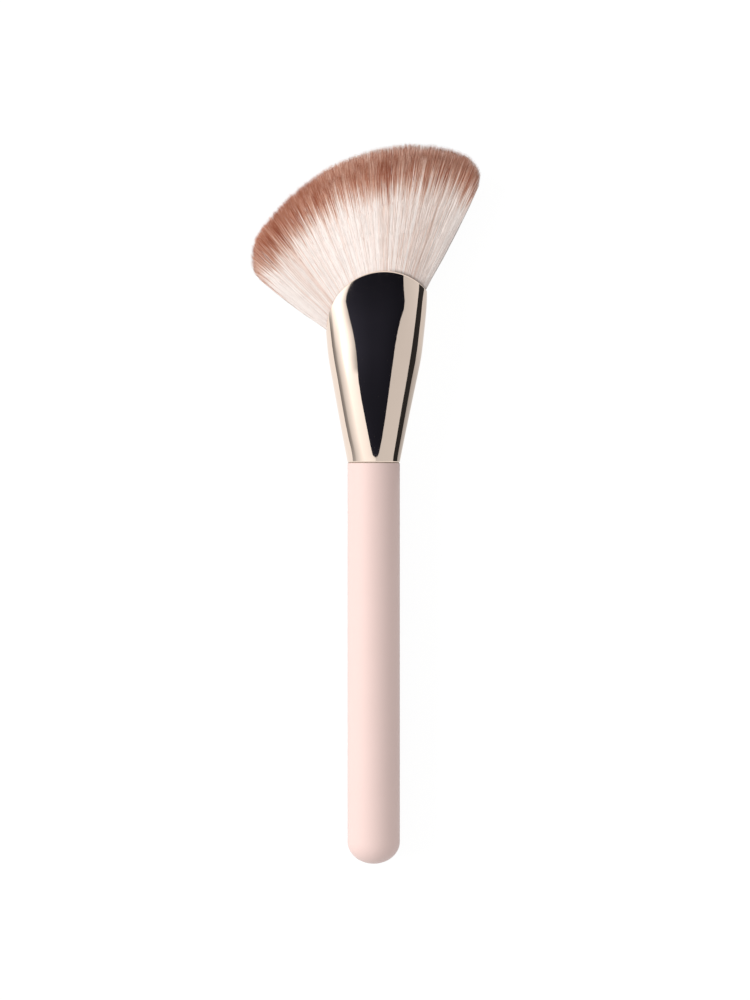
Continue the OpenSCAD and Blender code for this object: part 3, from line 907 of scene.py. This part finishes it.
def mirrored_cards(form, eye, floor_at):
    """Points, levels and blueness of the cards that the ferrule mirrors. A card's corner is where
    the ray that leaves the ferrule at the given place meets the sphere round the brush, or comes
    near the floor."""
    table = MIRRORED[::-1].T
    y = np.linspace(table[0, 0], table[0, -1], 264)
    shadow, left, right, stripe, stripe_end = (np.interp(y, table[0], row) for row in table[1:])
    border = np.interp(y, [0, 16, 26, 38, 46], [1.0, 1.1, 1.9, 1.5, 0.6])
    edge = form.skin(0.0, y * MM)[:, 0] / MM

    def level(*pairs):
        """Levels at heights on the ferrule."""
        heights, levels = zip(*pairs)
        return np.interp(y, heights, levels)

    # From left to right, the levels of the pale bands and then those of the black tongue
    shade = level((0, 0.42), (5, 0.26), (33, 0.2), (36.5, 0.36), (39, 0.8), (42, 1.6))
    rise = level((0, 0.68), (28, 0.66), (33, 0.95), (37, 1.15), (42, 1.7))
    bright = level((0, 1.05), (20, 1.08), (33, 1.35), (42, 2.0))
    lit = level((0, 1.24), (12, 1.36), (20, 1.45), (27, 2.0))
    before = level((0, 1.12), (15, 1.25), (30, 1.5))
    near = level((0, 1.02), (16, 1.12), (22.3, 1.12), (23, 0.8), (24, 0.45), (26.5, 0.42),
                 (29, 0.55), (32, 0.68), (36, 0.6), (46, 0.8))
    dark = level((2, 0.03), (16, 0.03), (21, 0.035), (29, 0.055), (36.5, 0.056), (41, 0.044),
                 (44, 0.036), (47, 0.028))
    darker = level((2, 0.03), (5, 0.018), (21, 0.018), (36, 0.014), (47, 0.011))
    # Places across the ferrule and the levels there. A card joins each one to the next
    deep = mix(left, right, 0.4), mix(dark, darker, 0.6)
    pale = shadow + 2.05
    middle = mix(pale, left - border, 0.35)
    chains = (
        (0, (shadow, shade), (shadow + 0.9, rise), (pale, bright), (middle, lit),
         (left - border, before), (left, near)),
        (1, (left, dark), deep, (right, darker)),
        (0, (right, level((0, 0.7), (46, 0.66))), (stripe, level((0, 0.72), (30, 0.7), (46, 0.82)))),
        (0, (stripe, level((0, 0.016), (46, 0.022))), (stripe_end, level((0, 0.026), (46, 0.032)))),
        (0, (stripe_end, level((22, 0.42), (33, 0.72))), (edge - 0.12, level((22, 0.6), (30, 0.72)))))
    points, levels, cool = [], [], []
    for blue, *stops in chains:
        for across, value in [side for card in zip(stops, stops[1:]) for side in card]:
            point, way = form.mirrored(across * MM, y * MM, eye)
            offset = point - CARDS_CENTRE
            along = (offset * way).sum(-1)
            far = -along + np.sqrt(along ** 2 - (offset ** 2).sum(-1) + CARDS_RADIUS ** 2)
            down = (floor_at(point[:, 1]) + 0.5 * MM - point[:, 2]) / np.minimum(way[:, 2], -1e-9)
            reach = np.where(way[:, 2] < 0, np.minimum(far, down), far)
            points.append(point + reach[:, None] * way)
            levels.append(value)
            cool.append(np.full_like(value, blue))
    return np.stack(points), np.stack(levels), np.stack(cool)


class BRUSH_OT_make_stage(bpy.types.Operator):
    """Set the floor, the reflecting cards, the light and the camera"""
    bl_idname = "powder_brush.make_stage"
    bl_label = "Make Stage"

    def execute(self, context):
        scene = context.scene
        s = scene.brush_studio
        scene.view_settings.view_transform = "Standard"
        self.cards(scene, s, self.floor(scene))
        self.lights(scene, s)
        self.camera(scene, s)
        return {"FINISHED"}

    def floor(self, scene):
        """The brush lies on the belly of its hair, which is a little fuller than its solid, and on
        its butt, so the floor slants from one to the other. Returns its height at y."""
        belly_z, belly_y = -scene.brush_hair.depth / 2 - 0.1 * MM, 65 * MM
        butt_z, butt_y = -scene.brush_handle.diameter / 2, 5.5 * MM - scene.brush_handle.length
        slope = (butt_z - belly_z) / (butt_y - belly_y)

        def height(y):
            return belly_z + (y - belly_y) * slope

        # Where it is seen it glows white with a faint shadow, and as a source of light it is grey
        n = Nodes(bpy.data.materials.new("white_floor"))
        shade = n.add("ShaderNodeBsdfDiffuse", {"Color": (0.10, 0.10, 0.10, 1)})
        glow = n.add("ShaderNodeEmission", {"Color": (1, 1, 1, 1), "Strength": 0.94})
        shown = n.add("ShaderNodeAddShader", {0: shade.outputs[0], 1: glow.outputs[0]})
        plain = n.add("ShaderNodeBsdfDiffuse", {"Color": (0.40, 0.40, 0.40, 1)})
        material = n.surface("ShaderNodeMixShader", {0: n.seen(), 1: plain.outputs[0],
                                                     2: shown.outputs[0]})
        reach = 0.5
        corners = np.array([(x * reach, y * reach, height(y * reach))
                            for x, y in ((-1, -1), (1, -1), (1, 1), (-1, 1))])
        new_object("floor", corners, [np.array([[0, 1, 2, 3]])], material)
        return height

    def cards(self, scene, s, floor_at):
        """White, grey and black cards that only the polish mirrors, made as one mesh of strips.
        They give the ferrule its black tongue, its stripe and its pale bands."""
        points, levels, cool = mirrored_cards(FerruleForm(scene), np.array(s.eye()), floor_at)
        rows = points.shape[1]
        left = np.arange(0, len(points), 2)[:, None] * rows + np.arange(rows - 1)[None]
        quads = np.stack([left, left + 1, left + rows + 1, left + rows], -1).reshape(-1, 4)
        n = Nodes(bpy.data.materials.new("studio_cards"))
        tint = n.blend(n.value("cool"), (1, 1, 1, 1), (0.58, 0.64, 1, 1))
        material = n.surface("ShaderNodeEmission", {"Color": tint, "Strength": n.value("level")})
        cards = new_object("cards", points, [quads], material, level=levels, cool=cool)
        cards.visible_camera = cards.visible_diffuse = cards.visible_shadow = False
        cards.visible_transmission = cards.visible_volume_scatter = False

    def lights(self, scene, s):
        """A soft light on the left and an even world, which is white where it is seen."""
        lamp = bpy.data.lights.new("key", "AREA")
        lamp.shape, lamp.size, lamp.energy = "SQUARE", 0.8, s.key
        key = bpy.data.objects.new("key", lamp)
        scene.collection.objects.link(key)
        place, aim = Vector((-1.09, 0.08, 0.64)), Vector((0, -0.01, 0))
        key.location = place
        key.rotation_euler = (aim - place).to_track_quat("-Z", "Y").to_euler()
        key.visible_glossy = False
        n = Nodes(bpy.data.worlds.new("studio"))
        level = n.span(n.seen(), 0, 1, s.fill, 1)
        scene.world = n.surface("ShaderNodeBackground", {"Color": (1, 1, 1, 1), "Strength": level},
                                "ShaderNodeOutputWorld")

    def camera(self, scene, s):
        """Straight above the brush, with the hair at the top of the frame."""
        camera = bpy.data.cameras.new("camera")
        camera.sensor_width = 36
        camera.lens = camera.sensor_width * s.camera_height / s.frame_height
        camera.clip_start, camera.clip_end = 0.01, 20
        eye = bpy.data.objects.new("camera", camera)
        scene.collection.objects.link(eye)
        eye.location = s.eye()
        scene.camera = eye


class BRUSH_PT_panel(bpy.types.Panel):
    """Sizes, colours and pieces of the powder brush"""
    bl_label = "Angled Powder Brush"
    bl_idname = "BRUSH_PT_panel"
    bl_space_type = "VIEW_3D"
    bl_region_type = "UI"
    bl_category = "Powder Brush"

    def draw(self, context):
        scene = context.scene
        for title, settings, operators in (
                ("Handle", scene.brush_handle, (BRUSH_OT_make_handle,)),
                ("Ferrule", scene.brush_ferrule, (BRUSH_OT_make_ferrule, BRUSH_OT_finish_root)),
                ("Hair", scene.brush_hair, (BRUSH_OT_make_hair,)),
                ("Studio", scene.brush_studio, (BRUSH_OT_make_stage,))):
            box = self.layout.box()
            box.label(text=title)
            for key in settings.__annotations__:
                box.prop(settings, key)
            for operator in operators:
                box.operator(operator.bl_idname)


GROUPS = {"brush_handle": HandleSettings, "brush_ferrule": FerruleSettings,
          "brush_hair": HairSettings, "brush_studio": StudioSettings}
OPERATORS = (BRUSH_OT_make_handle, BRUSH_OT_make_ferrule, BRUSH_OT_finish_root,
             BRUSH_OT_make_hair, BRUSH_OT_make_stage)


def register():
    for cls in (*GROUPS.values(), *OPERATORS, BRUSH_PT_panel):
        bpy.utils.register_class(cls)
    for key, group in GROUPS.items():
        setattr(bpy.types.Scene, key, PointerProperty(type=group))


def unregister():
    for key in GROUPS:
        delattr(bpy.types.Scene, key)
    for cls in (BRUSH_PT_panel, *reversed(OPERATORS), *GROUPS.values()):
        bpy.utils.unregister_class(cls)


def main():
    register()
    for step in ("make_handle", "make_ferrule", "finish_root", "make_hair", "make_stage"):
        getattr(bpy.ops.powder_brush, step)()


if __name__ == "__main__":
    main()
